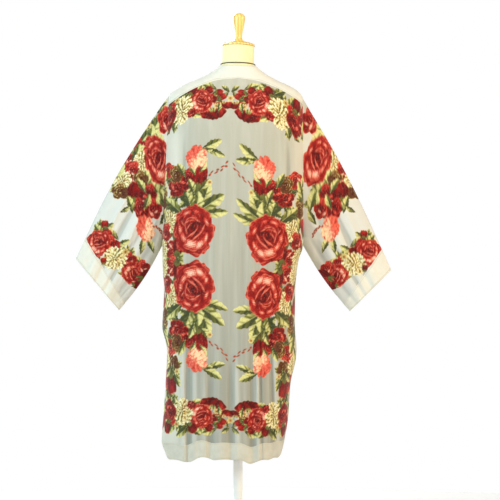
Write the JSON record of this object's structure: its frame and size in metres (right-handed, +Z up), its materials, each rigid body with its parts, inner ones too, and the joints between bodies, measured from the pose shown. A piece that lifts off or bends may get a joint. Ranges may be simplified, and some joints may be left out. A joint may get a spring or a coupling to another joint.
{
  "type": "kimono jacket on a dress form",
  "caption": "Open unlined kimono jacket with wide sleeves and contrast borders, hanging on a limbless dress form with a wooden finial, a pole and a round base.",
  "frame": {"origin": "on the floor, at the centre of the underside of the round base, below the form's axis", "axes": "+Z up, the jacket's back faces -Y and its open front +Y, +X is the wearer's right"},
  "size_m": [0.9464, 0.36, 1.5863],
  "materials": {
    "printed_chiffon": "sheer grey-beige ground with an opaque rose and leaf print",
    "woven_border": "matt cream woven border",
    "form_cover": "matt cream jersey, stretched smooth",
    "turned_wood": "golden varnished turned wood",
    "neck_cord": "thin black twisted cord",
    "stand_paint": "satin off-white paint"
  },
  "bodies": {
    "root": {"stand_base": "stand_paint", "stand_pole": "stand_paint", "form_underplate": "stand_paint", "form_torso": "form_cover", "form_neck": "form_cover", "neck_plate": "turned_wood", "neck_finial": "turned_wood", "neck_cord": "neck_cord", "back_panel": "printed_chiffon", "back_shoulder_border": "woven_border", "back_hem_border": "woven_border", "front_panel_left": "printed_chiffon", "front_edge_border_left": "woven_border", "front_hem_border_left": "woven_border", "sleeve_left": "printed_chiffon", "cuff_border_left": "woven_border", "front_panel_right": "printed_chiffon", "front_edge_border_right": "woven_border", "front_hem_border_right": "woven_border", "sleeve_right": "printed_chiffon", "cuff_border_right": "woven_border"}
  },
  "joints": []
}
